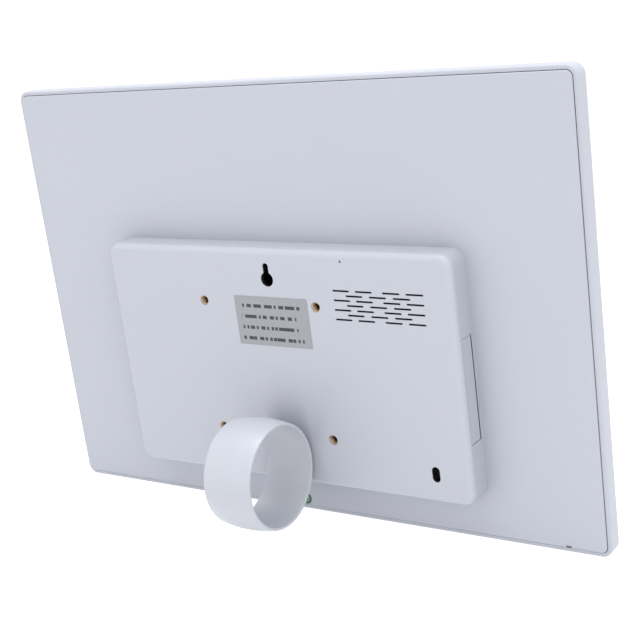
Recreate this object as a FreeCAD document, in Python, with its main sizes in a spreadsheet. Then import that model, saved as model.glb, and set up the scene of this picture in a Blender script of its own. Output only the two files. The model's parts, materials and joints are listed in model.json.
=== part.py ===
"""Digital photo frame that leans back on a ring stand.

Every piece is drawn upright: x across the frame, y from the front face to the back, z up from the
bottom edge of the frame. At the end each piece gets one shared placement, which leans the frame back
until its bottom edge and the ring stand touch the same level surface.
"""
import FreeCAD, Part
import math
import os
import Sketcher

Vector = FreeCAD.Vector
TINY = 1e-6
FIN_COUNT = 7
SOCKET_NAMES = ("card_socket", "usb_socket", "mini_usb_socket")
KEY_NAMES = ("left_key", "right_key", "down_key", "up_key", "menu_key", "play_key", "power_key")

# Driving sizes in millimetres. Places are measured from the middle of the frame's width (x),
# from the front face (y) and from the frame's bottom edge (z).
SIZES = {
    # outer frame moulding
    "frame_width": 357.4,
    "frame_height": 245.5,
    "frame_corner": 6.0,
    "frame_wall": 2.2,
    "front_round": 2.5,
    "rim_round": 1.0,
    "bezel_thickness": 2.0,
    "ledge_width": 1.6,
    "window_bevel": 0.9,
    # rear panel, a plate set into the back of the frame
    "panel_gap": 0.4,
    "panel_thickness": 2.0,
    "panel_proud": 0.8,
    "panel_round": 0.5,
    "tab_width": 14.0,
    "tab_depth": 3.0,
    "tab_thickness": 1.2,
    "tab_clearance": 0.1,
    "side_tab_share": 0.18,
    "end_tab_share": 0.2,
    "hole_clearance": 0.3,
    "notch_inset": 23.1,
    "notch_width": 3.0,
    "notch_height": 1.3,
    "cable_window": 60.0,
    "cable_window_place": 45.0,
    "cable_window_corner": 4.0,
    # rear housing, the raised shell that holds the electronics
    "housing_width": 225.0,
    "housing_height": 133.6,
    "housing_bottom": 25.0,
    "housing_depth": 15.5,
    "housing_wall": 2.0,
    "housing_corner": 7.0,
    "housing_round": 3.5,
    "post_radius": 3.2,
    "post_inset": 9.0,
    "post_side_inset": 20.5,
    "post_middle": 26.0,
    "lock_post_inset": 42.5,
    # display module
    "border_side": 26.85,
    "border_top": 27.85,
    "window_margin": 0.5,
    "module_margin": 7.9,
    "module_steel": 0.5,
    "module_corner": 1.5,
    "module_lip": 1.2,
    "cell_margin": 2.7,
    "cell_thickness": 1.4,
    "film_thickness": 0.6,
    "guide_thickness": 2.0,
    "reflector_thickness": 0.3,
    "led_strip_height": 1.6,
    "stack_clearance": 0.1,
    # brackets that hold the display module
    "bracket_width": 20.0,
    "bracket_share": 0.92,
    "bracket_thickness": 0.8,
    "bracket_overlap": 8.0,
    "frame_post_radius": 2.9,
    "frame_post_gap": 1.2,
    "frame_post_share": 0.39,
    "frame_post_floor": 1.0,
    "panel_clearance": 0.2,
    # threaded inserts, on a 75 mm square
    "insert_square": 75.0,
    "insert_across": 7.9,
    "insert_up": 90.65,
    "insert_radius": 2.8,
    "insert_bore": 2.0,
    "insert_length": 8.0,
    "insert_sunk": 0.3,
    "insert_boss_radius": 4.6,
    "insert_boss_length": 9.0,
    "press_clearance": 0.02,
    # hanging keyhole
    "keyhole_drop": 16.6,
    "keyhole_radius": 4.0,
    "keyhole_slot": 3.6,
    "keyhole_rise": 9.0,
    "hanging_plate_width": 26.0,
    "hanging_plate_height": 22.0,
    "hanging_plate_drop": 1.5,
    "hanging_plate_thickness": 1.0,
    "hanging_plate_clearance": 0.4,
    # lock slot and pin hole
    "lock_inset": 20.8,
    "lock_up": 41.0,
    "lock_width": 4.7,
    "lock_height": 8.6,
    "pinhole_across": 48.3,
    "pinhole_drop": 5.1,
    "pinhole_radius": 0.65,
    # sound slots: long rows of four and short rows of three
    "grille_inset": 43.9,
    "grille_drop": 28.6,
    "dash_length": 10.2,
    "dash_height": 1.0,
    "row_pitch": 2.6,
    "dash_inner": 8.2,
    "dash_outer": 22.0,
    "dash_side": 14.2,
    # speakers
    "speaker_width": 30.0,
    "speaker_height": 20.0,
    "speaker_depth": 6.5,
    "speaker_gap": 4.0,
    "speaker_wall": 2.2,
    "speaker_back": 2.0,
    "cone_depth": 3.0,
    "cone_cap_depth": 0.8,
    "cone_cap_inset": 3.5,
    "cone_clearance": 0.05,
    "gasket_thickness": 0.5,
    "gasket_corner": 9.0,
    # side door
    "door_share": 0.247,
    "door_height": 56.7,
    "door_depth": 10.4,
    "door_base": 1.4,
    "door_gap": 0.35,
    "door_front_gap": 1.0,
    "door_top_gap": 0.1,
    "door_thickness": 1.6,
    "door_recess": 0.1,
    "hinge_pin_radius": 0.5,
    "hinge_clearance": 0.05,
    "hinge_pin_reach": 1.0,
    # sockets behind the door
    "port_plate_sunk": 4.0,
    "port_plate_thickness": 1.5,
    "port_plate_low": 2.5,
    "port_plate_lift": 1.0,
    "port_clearance": 0.2,
    "socket_shell": 0.4,
    "socket_back": 1.5,
    "tongue_share": 0.12,
    "tongue_width_share": 0.38,
    # each socket: its middle above the door's lower edge, width along z, height along y, length along x
    "card_socket_rise": 15.4,
    "card_socket_width": 26.0,
    "card_socket_height": 3.2,
    "card_socket_length": 28.0,
    "usb_socket_rise": 37.5,
    "usb_socket_width": 13.1,
    "usb_socket_height": 7.0,
    "usb_socket_length": 14.0,
    "mini_usb_socket_rise": 50.2,
    "mini_usb_socket_width": 7.7,
    "mini_usb_socket_height": 4.0,
    "mini_usb_socket_length": 9.2,
    # boards
    "board_thickness": 1.6,
    "board_share": 0.524,
    "board_low_share": 0.1722,
    "board_side_gap": 4.0,
    "board_right": 2.0,
    "board_lift": 2.9,
    "support_radius": 3.0,
    "support_inset": 5.0,
    "support_shift": 8.5,
    "screw_hole_clearance": 0.2,
    # parts on the main board
    "chip_across": 52.0,
    "chip_rise": 36.0,
    "chip_size": 20.0,
    "chip_height": 1.6,
    "heat_sink_base": 1.2,
    "fin_height": 3.6,
    "fin_thickness": 1.2,
    "memory_width": 11.0,
    "memory_length": 9.0,
    "memory_height": 1.1,
    "memory_rise": 13.0,
    "memory_spread": 8.0,
    "capacitor_radius": 3.1,
    "capacitor_height": 7.0,
    "capacitor_across": 73.0,
    "capacitor_rise": 28.0,
    "capacitor_pitch": 7.5,
    "connector_height": 4.5,
    "connector_depth": 4.8,
    "speaker_plug_across": 30.0,
    "speaker_plug_drop": 6.0,
    "speaker_plug_width": 9.0,
    "backlight_plug_across": 72.0,
    "backlight_plug_rise": 8.0,
    "backlight_plug_width": 12.0,
    "display_plug_across": 46.0,
    "display_plug_rise": 6.0,
    "display_plug_width": 12.0,
    "cell_across": 18.0,
    "cell_drop": 21.0,
    "cell_holder_size": 15.5,
    "cell_holder_height": 3.4,
    "cell_holder_floor": 0.8,
    "clock_cell_radius": 6.25,
    "clock_cell_height": 2.0,
    "clock_cell_clearance": 0.1,
    # keys on the side wall
    "key_pitch_share": 0.0898,
    "key_drop": 12.6,
    "key_height": 8.0,
    "key_depth": 4.0,
    "key_corner": 1.9,
    "key_round": 0.4,
    "key_clearance": 0.2,
    "key_proud": 1.0,
    "key_flange": 0.8,
    "key_flange_thickness": 1.2,
    "key_travel": 0.5,
    "key_middle": 7.5,
    "switch_body": 3.5,
    "switch_width": 6.0,
    "switch_stem_radius": 1.75,
    "switch_stem_length": 0.4,
    "stem_gap": 0.1,
    "key_board_margin": 8.4,
    "key_board_lift": 2.5,
    "key_rail_width": 2.0,
    "key_rail_height": 3.0,
    # power board and its sockets
    "power_board_low": 13.0,
    "power_board_height": 26.5,
    "power_board_width": 26.0,
    "power_board_gap": 0.3,
    "power_screw_inset": 4.0,
    "socket_gap": 0.1,
    "socket_floor": 1.0,
    "inlet_up": 32.0,
    "inlet_floor": 2.0,
    "inlet_opening": 3.6,
    "inlet_width": 9.0,
    "inlet_height": 8.0,
    "inlet_length": 13.0,
    "inlet_bore": 2.8,
    "inlet_pin_radius": 1.0,
    "earphone_up": 18.5,
    "earphone_length": 12.0,
    "earphone_width": 6.0,
    "earphone_height": 5.0,
    "earphone_bore": 1.8,
    "earphone_nose": 2.6,
    # ring stand
    "ring_radius": 30.1,
    "ring_wall": 1.5,
    "ring_width": 30.2,
    "ring_crown": 1.55,
    "ring_edge_round": 0.5,
    "ring_gap": 1.0,
    "ring_up": 42.9,
    "ring_boss_radius": 7.0,
    "ring_boss_bite": 1.05,
    "stand_across": -0.6,
    "stand_boss_radius": 7.0,
    "stand_boss_floor": 0.5,
    "washer_thickness": 0.5,
    "washer_gap": 0.05,
    "stud_flange_radius": 5.0,
    "stud_flange_thickness": 1.0,
    "stud_radius": 2.5,
    "stud_clearance": 0.05,
    "stud_end_gap": 0.5,
    "stand_insert_radius": 4.0,
    "stand_insert_length": 7.5,
    # label and sticker
    "label_width": 48.4,
    "label_height": 27.7,
    "label_drop": 40.3,
    "label_corner": 0.8,
    "label_thickness": 0.15,
    "sticker_across": 8.6,
    "sticker_up": 7.0,
    "sticker_width": 12.0,
    "sticker_height": 7.0,
    # small screws
    "small_head_radius": 2.3,
    "small_head_thickness": 1.2,
    "small_screw_radius": 1.2,
    "small_screw_length": 6.0,
    "small_screw_gap": 0.5,
    # flat cables
    "ribbon_thickness": 0.4,
    "ribbon_low_rise": 14.0,
    "ribbon_bend_rise": 34.0,
    "ribbon_bend_drop": 23.0,
    "ribbon_top_drop": 10.0,
    "display_ribbon_place": 44.0,
    "display_ribbon_width": 20.0,
    "backlight_lead_place": 66.0,
    "backlight_lead_width": 5.0,
    "lead_width": 3.0,
    "lead_drop": 12.0,
    "key_ribbon_width": 8.0,
    "key_ribbon_inset": 7.0,
    "key_ribbon_drop": 19.0,
    "power_ribbon_width": 6.5,
    "power_ribbon_inset": 12.0,
    "power_ribbon_overlap": 8.0,
    "power_ribbon_drop": 1.5,
}

doc = FreeCAD.newDocument("digital_photo_frame")
sheet = doc.addObject("Spreadsheet::Sheet", "Dims")


class Size:
    """A length or a place, known as a number and as the sheet expression that gives that number."""

    def __init__(self, number, text):
        self.number = float(number)
        self.text = text

    @staticmethod
    def of(value):
        return value if isinstance(value, Size) else Size(value, f"{float(value):.6f}")

    def __add__(self, other):
        other = Size.of(other)
        return Size(self.number + other.number, f"({self.text} + {other.text})")

    def __sub__(self, other):
        other = Size.of(other)
        return Size(self.number - other.number, f"({self.text} - {other.text})")

    def __mul__(self, other):
        other = Size.of(other)
        return Size(self.number * other.number, f"({self.text} * {other.text})")

    def __truediv__(self, other):
        other = Size.of(other)
        return Size(self.number / other.number, f"({self.text} / {other.text})")

    def __neg__(self):
        return Size(-self.number, f"(0 - {self.text})")

    def __radd__(self, other):
        return Size.of(other) + self

    def __rsub__(self, other):
        return Size.of(other) - self

    def __rmul__(self, other):
        return Size.of(other) * self


class Dimensions:
    """The sheet's cells by name, each as a Size."""


dims = Dimensions()
for row, (alias, number) in enumerate(SIZES.items(), 1):
    sheet.set(f"A{row}", alias)
    sheet.set(f"B{row}", str(number))
    sheet.setAlias(f"B{row}", alias)
    setattr(dims, alias, Size(number, f"Dims.{alias}"))
doc.recompute()


# Outlines: each returns a function that draws it in a sketch, with every size bound to the sheet.

def dimension(sketch, size, kind, *where):
    index = sketch.addConstraint(Sketcher.Constraint(kind, *where, size.number))
    sketch.setExpression(f"Constraints[{index}]", size.text)


def locate(sketch, geometry, point, kind, place):
    """Fix one coordinate of a point, measured from the sketch's origin."""
    if abs(place.number) < TINY:
        axis = -2 if kind == "DistanceX" else -1
        sketch.addConstraint(Sketcher.Constraint("PointOnObject", geometry, point, axis))
    else:
        dimension(sketch, place, kind, -1, 1, geometry, point)


def circle(across, up, radius):
    across, up, radius = Size.of(across), Size.of(up), Size.of(radius)

    def draw(sketch):
        centre = Vector(across.number, up.number, 0)
        ring = sketch.addGeometry(Part.Circle(centre, Vector(0, 0, 1), radius.number))
        dimension(sketch, radius, "Radius", ring)
        locate(sketch, ring, 3, "DistanceX", across)
        locate(sketch, ring, 3, "DistanceY", up)
    return draw


def polygon(*points):
    """Straight-sided outline through points, each a pair of Sizes."""
    corners = [(Size.of(across), Size.of(up)) for across, up in points]

    def draw(sketch):
        spots = [Vector(across.number, up.number, 0) for across, up in corners]
        count = len(spots)
        first = sketch.GeometryCount
        for index in range(count):
            sketch.addGeometry(Part.LineSegment(spots[index], spots[(index + 1) % count]))
        for index in range(count):
            following = first + (index + 1) % count
            sketch.addConstraint(Sketcher.Constraint("Coincident", first + index, 2, following, 1))
        for index, (across, up) in enumerate(corners):
            locate(sketch, first + index, 1, "DistanceX", across)
            locate(sketch, first + index, 1, "DistanceY", up)
    return draw


def rectangle(across, up, width, height):
    across, up, width, height = (Size.of(value) for value in (across, up, width, height))

    def draw(sketch):
        left = across - width / 2
        low = up - height / 2
        right = left.number + width.number
        top = low.number + height.number
        corners = [Vector(left.number, low.number, 0), Vector(right, low.number, 0),
                   Vector(right, top, 0), Vector(left.number, top, 0)]
        first = sketch.GeometryCount
        for side in range(4):
            sketch.addGeometry(Part.LineSegment(corners[side], corners[(side + 1) % 4]))
        for side in range(4):
            following = first + (side + 1) % 4
            sketch.addConstraint(Sketcher.Constraint("Coincident", first + side, 2, following, 1))
            straight = "Vertical" if side % 2 else "Horizontal"
            sketch.addConstraint(Sketcher.Constraint(straight, first + side))
        dimension(sketch, width, "DistanceX", first, 1, first, 2)
        dimension(sketch, height, "DistanceY", first + 1, 1, first + 1, 2)
        locate(sketch, first, 1, "DistanceX", left)
        locate(sketch, first, 1, "DistanceY", low)
    return draw


def between(left, low, right, top):
    """Rectangle given by its sides."""
    left, low, right, top = (Size.of(value) for value in (left, low, right, top))
    return rectangle((left + right) / 2, (low + top) / 2, right - left, top - low)


def rounded(across, up, width, height, corner):
    """Rectangle with round corners: four lines and four arcs, tangent all round."""
    across, up, width, height = (Size.of(value) for value in (across, up, width, height))
    corner = Size.of(corner)

    def draw(sketch):
        left = across - width / 2
        low = up - height / 2
        reach_x = width.number / 2 - corner.number
        reach_y = height.number / 2 - corner.number
        middle = Vector(across.number, up.number, 0)
        first = sketch.GeometryCount
        for quarter in range(4):
            turn = math.radians(90 * quarter)
            out = Vector(math.sin(turn), -math.cos(turn), 0)
            along = Vector(math.cos(turn), math.sin(turn), 0)
            half = (reach_x, reach_y)[quarter % 2]
            away = (reach_y, reach_x)[quarter % 2] + corner.number
            start = middle + out * away - along * half
            end = middle + out * away + along * half
            sketch.addGeometry(Part.LineSegment(start, end))
            centre = end - out * corner.number
            round_corner = Part.Circle(centre, Vector(0, 0, 1), corner.number)
            sketch.addGeometry(Part.ArcOfCircle(round_corner, turn - math.pi / 2, turn))
        for step in range(8):
            here = first + step
            following = first + (step + 1) % 8
            sketch.addConstraint(Sketcher.Constraint("Tangent", here, 2, following, 1))
        for side in range(4):
            straight = "Vertical" if side % 2 else "Horizontal"
            sketch.addConstraint(Sketcher.Constraint(straight, first + 2 * side))
        for arc in (3, 5, 7):
            sketch.addConstraint(Sketcher.Constraint("Equal", first + 1, first + arc))
        dimension(sketch, corner, "Radius", first + 1)
        dimension(sketch, width, "DistanceX", first + 6, 1, first + 2, 1)
        dimension(sketch, height, "DistanceY", first, 1, first + 4, 1)
        locate(sketch, first + 6, 1, "DistanceX", left)
        locate(sketch, first, 1, "DistanceY", low)
    return draw


def slot(across, up, width, height):
    """Round-ended slot, along its longer side."""
    across, up, width, height = (Size.of(value) for value in (across, up, width, height))
    flat = width.number > height.number
    span = width - height if flat else height - width
    radius = (height if flat else width) / 2

    def draw(sketch):
        turn = 0 if flat else math.pi / 2
        along = Vector(math.cos(turn), math.sin(turn), 0)
        side = Vector(math.sin(turn), -math.cos(turn), 0)
        middle = Vector(across.number, up.number, 0)
        near = middle - along * (span.number / 2)
        far = middle + along * (span.number / 2)
        edge = side * radius.number
        first = sketch.GeometryCount
        sketch.addGeometry(Part.LineSegment(near + edge, far + edge))
        end = Part.Circle(far, Vector(0, 0, 1), radius.number)
        sketch.addGeometry(Part.ArcOfCircle(end, turn - math.pi / 2, turn + math.pi / 2))
        sketch.addGeometry(Part.LineSegment(far - edge, near - edge))
        end = Part.Circle(near, Vector(0, 0, 1), radius.number)
        sketch.addGeometry(Part.ArcOfCircle(end, turn + math.pi / 2, turn + 3 * math.pi / 2))
        for step in range(4):
            following = first + (step + 1) % 4
            sketch.addConstraint(Sketcher.Constraint("Tangent", first + step, 2, following, 1))
        straight = "Horizontal" if flat else "Vertical"
        sketch.addConstraint(Sketcher.Constraint(straight, first))
        sketch.addConstraint(Sketcher.Constraint(straight, first + 2))
        dimension(sketch, radius, "Radius", first + 1)
        kind = "DistanceX" if flat else "DistanceY"
        dimension(sketch, span, kind, first + 3, 3, first + 1, 3)
        near_across = across - span / 2 if flat else across
        near_up = up if flat else up - span / 2
        locate(sketch, first + 3, 3, "DistanceX", near_across)
        locate(sketch, first + 3, 3, "DistanceY", near_up)
    return draw


# Features: every pad and pocket runs along its plane's positive world axis.
# BACK sketches lie across the frame and run towards the back, SIDE sketches run towards +x.

BACK = "XZ_Plane"
SIDE = "YZ_Plane"
LEVEL = "XY_Plane"
pieces = []


def new_body(label):
    body = doc.addObject("PartDesign::Body", label)
    body.Label = label
    pieces.append(body)
    return body


def new_sketch(body, role, start, outlines):
    plane = next(item for item in body.Origin.OriginFeatures if item.Role == role)
    sketch = body.newObject("Sketcher::SketchObject", "Sketch")
    sketch.AttachmentSupport = [(plane, "")]
    sketch.MapMode = "FlatFace"
    height = -Size.of(start) if role == BACK else Size.of(start)
    sketch.setExpression(".AttachmentOffset.Base.z", height.text)
    for draw in outlines:
        draw(sketch)
    return sketch


def add(body, role, start, length, *outlines):
    sketch = new_sketch(body, role, start, outlines)
    pad = body.newObject("PartDesign::Pad", "Pad")
    pad.Profile = sketch
    pad.setExpression("Length", Size.of(length).text)
    pad.Reversed = role == BACK
    doc.recompute()
    return pad


def cut(body, role, start, length, *outlines):
    before = body.Shape.Volume
    sketch = new_sketch(body, role, start, outlines)
    pocket = body.newObject("PartDesign::Pocket", "Pocket")
    pocket.Profile = sketch
    pocket.setExpression("Length", Size.of(length).text)
    pocket.Reversed = role != BACK
    doc.recompute()
    if body.Shape.Volume > before - TINY:
        raise RuntimeError(f"{body.Label}: a pocket removes nothing")
    return pocket


def edge_names(shape, test):
    return [f"Edge{index}" for index, edge in enumerate(shape.Edges, 1) if test(edge)]


def round_off(body, radius, test, kind="PartDesign::Fillet"):
    """Fillet or chamfer the edges of the body's last feature that pass the test."""
    base = body.Tip
    names = edge_names(base.Shape, test)
    if not names:
        raise RuntimeError(f"{body.Label}: no edge to round")
    feature = body.newObject(kind, kind.split("::")[1])
    feature.Base = (base, names)
    field = "Radius" if kind == "PartDesign::Fillet" else "Size"
    feature.setExpression(field, Size.of(radius).text)
    doc.recompute()
    return feature


def in_plane(edge, axis, place):
    """True when the whole edge lies in the plane where the coordinate has that value."""
    box = edge.BoundBox
    low, high = {"x": (box.XMin, box.XMax), "y": (box.YMin, box.YMax), "z": (box.ZMin, box.ZMax)}[axis]
    return abs(low - place) < 1e-4 and abs(high - place) < 1e-4


def row_pattern(body, original, sketch, spacing, occurrences):
    """Repeat a pocket upwards."""
    pattern = body.newObject("PartDesign::LinearPattern", "LinearPattern")
    pattern.Originals = [original]
    pattern.Direction = (sketch, ["V_Axis"])
    pattern.setExpression("Length", (spacing * (occurrences - 1)).text)
    pattern.Occurrences = occurrences
    body.Tip = pattern
    doc.recompute()
    return pattern


def block(label, low, high):
    """Plain block between two corners, each (x, y, z)."""
    body = new_body(label)
    low = [Size.of(value) for value in low]
    high = [Size.of(value) for value in high]
    add(body, BACK, low[1], high[1] - low[1], between(low[0], low[2], high[0], high[2]))
    return body


def rod(name, centre, radius, start, length, axis="y"):
    """Part cylinder along y or x; centre gives its other two places."""
    cylinder = doc.addObject("Part::Cylinder", name)
    first, second = (Size.of(value) for value in centre)
    if axis == "y":
        cylinder.Placement.Rotation = FreeCAD.Rotation(Vector(1, 0, 0), -90)
        base = {"x": first, "y": Size.of(start), "z": second}
    else:
        cylinder.Placement.Rotation = FreeCAD.Rotation(Vector(0, 1, 0), 90)
        base = {"x": Size.of(start), "y": first, "z": second}
    for name_of_axis, place in base.items():
        cylinder.setExpression(f".Placement.Base.{name_of_axis}", place.text)
    cylinder.setExpression("Radius", Size.of(radius).text)
    cylinder.setExpression("Height", Size.of(length).text)
    return cylinder


def brick(name, low, high):
    """Part box between two corners."""
    box = doc.addObject("Part::Box", name)
    low = [Size.of(value) for value in low]
    high = [Size.of(value) for value in high]
    for field, start, end in zip(("Length", "Width", "Height"), low, high):
        box.setExpression(field, (end - start).text)
    for axis, start in zip("xyz", low):
        box.setExpression(f".Placement.Base.{axis}", start.text)
    return box


def fuse(name, first, second):
    joined = doc.addObject("Part::Fuse", name)
    joined.Base = first
    joined.Tool = second
    return joined


def subtract(name, first, second):
    rest = doc.addObject("Part::Cut", name)
    rest.Base = first
    rest.Tool = second
    return rest


def group(label, members):
    """Separate solids of the same kind, kept as one piece."""
    compound = doc.addObject("Part::Compound", label)
    compound.Label = label
    compound.Links = members
    pieces.append(compound)
    doc.recompute()
    return compound


def small_screws(label, places, seat, length, head_forward=True):
    """Pan-head screws along y. The head lies before its seat, or behind it, and the shank beyond."""
    members = []
    for across, up in places:
        if head_forward:
            head_start, shank_start = seat - dims.small_head_thickness, seat
        else:
            head_start, shank_start = seat, seat - length
        head = rod(f"{label}_head", (across, up), dims.small_head_radius,
                   head_start, dims.small_head_thickness)
        shank = rod(f"{label}_shank", (across, up), dims.small_screw_radius, shank_start, length)
        members.append(fuse(f"{label}_screw", head, shank))
    return group(label, members)


# Shared places

frame_middle = dims.frame_height / 2
display_width = dims.frame_width - dims.border_side * 2
display_height = dims.frame_height - dims.border_top * 2
module_width = display_width + dims.module_margin * 2
module_height = display_height + dims.module_margin * 2
cell_width = display_width + dims.cell_margin * 2
cell_height = display_height + dims.cell_margin * 2

module_front = dims.bezel_thickness
cell_front = module_front + dims.module_steel
film_front = cell_front + dims.cell_thickness
guide_front = film_front + dims.film_thickness
reflector_front = guide_front + dims.guide_thickness
tray_front = reflector_front + dims.reflector_thickness
tray_rear = tray_front + dims.module_steel
bracket_rear = tray_rear + dims.bracket_thickness
bracket_height = module_height * dims.bracket_share
bracket_place = module_width / 2 - dims.bracket_overlap + dims.bracket_width / 2
frame_post_place = module_width / 2 + dims.frame_post_radius + dims.frame_post_gap
frame_post_rises = [frame_middle + module_height * dims.frame_post_share * step for step in (-1, 0, 1)]
frame_post_places = [(frame_post_place * side, rise) for side in (-1, 1) for rise in frame_post_rises]

panel_front = bracket_rear + dims.small_head_thickness + dims.panel_clearance
panel_rear = panel_front + dims.panel_thickness
frame_depth = panel_rear - dims.panel_proud
panel_inset = dims.frame_wall + dims.panel_gap
notch_place = dims.frame_width / 2 - dims.notch_inset
face = panel_rear + dims.housing_depth
face_inner = face - dims.housing_wall
housing_middle = dims.housing_bottom + dims.housing_height / 2
housing_top = dims.housing_bottom + dims.housing_height
side_wall = dims.housing_width / 2
side_inner = side_wall - dims.housing_wall
post_spread = side_wall - dims.post_side_inset
keyhole_up = housing_top - dims.keyhole_drop
keyhole_slot_up = keyhole_up + dims.keyhole_rise / 2
pinhole_up = housing_top - dims.pinhole_drop
lock_across = side_wall - dims.lock_inset
grille_across = side_wall - dims.grille_inset
grille_up = housing_top - dims.grille_drop
label_up = housing_top - dims.label_drop

half_square = dims.insert_square / 2
insert_places = [(dims.insert_across + half_square * side, dims.insert_up + half_square * rise)
                 for side in (-1, 1) for rise in (-1, 1)]

screw_low = dims.housing_bottom + dims.post_inset
screw_high = housing_top - dims.post_inset
housing_screw_places = [
    (-side_wall + dims.lock_post_inset, screw_low),
    (-dims.post_middle, screw_low),
    (post_spread, screw_low),
    (-post_spread, screw_high),
    (dims.post_middle, screw_high),
    (post_spread, screw_high),
]

board_front = panel_rear + dims.board_lift
board_rear = board_front + dims.board_thickness
board_left = side_inner - dims.board_side_gap
board_low = dims.housing_bottom + dims.housing_height * dims.board_low_share
board_top = board_low + dims.housing_height * dims.board_share
board_screw_places = [
    (-board_left + dims.support_inset, board_low + dims.support_inset),
    (-dims.board_right - dims.support_inset, board_low + dims.support_inset),
    (-board_left + dims.support_inset + dims.support_shift, board_top - dims.support_inset),
    (-dims.board_right - dims.support_inset, board_top - dims.support_inset),
]
power_board_left = side_inner - dims.power_board_width
power_board_low = dims.housing_bottom + dims.power_board_low
power_board_top = power_board_low + dims.power_board_height
power_screw_place = (power_board_left + dims.power_screw_inset, power_board_low + dims.power_screw_inset)
inlet_up = dims.housing_bottom + dims.inlet_up
earphone_up = dims.housing_bottom + dims.earphone_up

key_place = panel_rear + dims.key_middle
key_pitch = dims.housing_height * dims.key_pitch_share
key_highest = housing_top - dims.key_drop
key_rises = [key_highest - key_pitch * step for step in reversed(range(len(KEY_NAMES)))]
flange_outer = side_inner - dims.key_clearance
flange_inner = flange_outer - dims.key_flange_thickness
stem_end = flange_inner - dims.key_travel - dims.stem_gap
stem_start = stem_end - dims.switch_stem_length
key_board_front = stem_start - dims.switch_body
key_board_rear = key_board_front - dims.board_thickness

door_front = panel_rear + dims.door_base
door_rear = door_front + dims.door_depth
door_low = dims.housing_bottom + dims.housing_height * dims.door_share
door_top = door_low + dims.door_height
door_outer = -side_wall + dims.door_recess
hinge_across = door_outer + dims.door_thickness / 2
hinge_up = door_top - dims.door_top_gap - dims.door_thickness / 2

ring_axis = face + dims.ring_gap + dims.ring_radius
stand_insert_front = face - dims.insert_sunk - dims.stand_insert_length
washer_rear = face + dims.washer_thickness
ring_seat = washer_rear + dims.washer_gap
stand_place = (dims.stand_across, dims.ring_up)
speaker_front = face_inner - dims.gasket_thickness - dims.speaker_depth
speaker_step = (dims.speaker_width + dims.speaker_gap) / 2


# Outer frame moulding: side walls, front bezel with its window, ledge for the rear panel, posts.

def make_front_frame():
    body = new_body("front_frame")
    add(body, BACK, 0, frame_depth,
        rounded(0, frame_middle, dims.frame_width, dims.frame_height, dims.frame_corner))
    deep = dims.frame_wall + dims.ledge_width
    cut(body, BACK, dims.bezel_thickness, panel_front - dims.bezel_thickness,
        rounded(0, frame_middle, dims.frame_width - deep * 2, dims.frame_height - deep * 2,
                dims.frame_corner - deep))
    cut(body, BACK, panel_front, frame_depth - panel_front,
        rounded(0, frame_middle, dims.frame_width - dims.frame_wall * 2,
                dims.frame_height - dims.frame_wall * 2, dims.frame_corner - dims.frame_wall))
    cut(body, BACK, 0, dims.bezel_thickness,
        rectangle(0, frame_middle, display_width + dims.window_margin * 2,
                  display_height + dims.window_margin * 2))
    add(body, BACK, dims.bezel_thickness, tray_rear - dims.bezel_thickness,
        *(circle(across, up, dims.frame_post_radius) for across, up in frame_post_places))
    floor = dims.bezel_thickness + dims.frame_post_floor
    cut(body, BACK, floor, tray_rear - floor,
        *(circle(across, up, dims.small_screw_radius + dims.press_clearance)
          for across, up in frame_post_places))

    def outer(edge):
        middle = edge.CenterOfMass
        return (abs(middle.x) > dims.frame_width.number / 2 - dims.frame_corner.number
                or abs(middle.z - frame_middle.number)
                > frame_middle.number - dims.frame_corner.number)

    def on_rim(edge):
        box = edge.BoundBox
        near = dims.frame_wall.number / 2
        wide = max(abs(box.XMin), abs(box.XMax)) > dims.frame_width.number / 2 - near
        tall = box.ZMin < near or box.ZMax > dims.frame_height.number - near
        return wide or tall

    def window_edge(edge):
        return in_plane(edge, "y", 0) and not outer(edge)

    round_off(body, dims.window_bevel, window_edge, "PartDesign::Chamfer")
    round_off(body, dims.front_round, lambda edge: in_plane(edge, "y", 0) and outer(edge))
    round_off(body, dims.rim_round,
              lambda edge: in_plane(edge, "y", frame_depth.number) and on_rim(edge))


# Display module, from the front to the back.

def module_layer(label, start, thickness, inset):
    """One sheet of the display stack, set in from the cell's outline."""
    body = new_body(label)
    add(body, BACK, start, thickness,
        rectangle(0, frame_middle, cell_width - inset * 2, cell_height - inset * 2))
    return body


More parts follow.
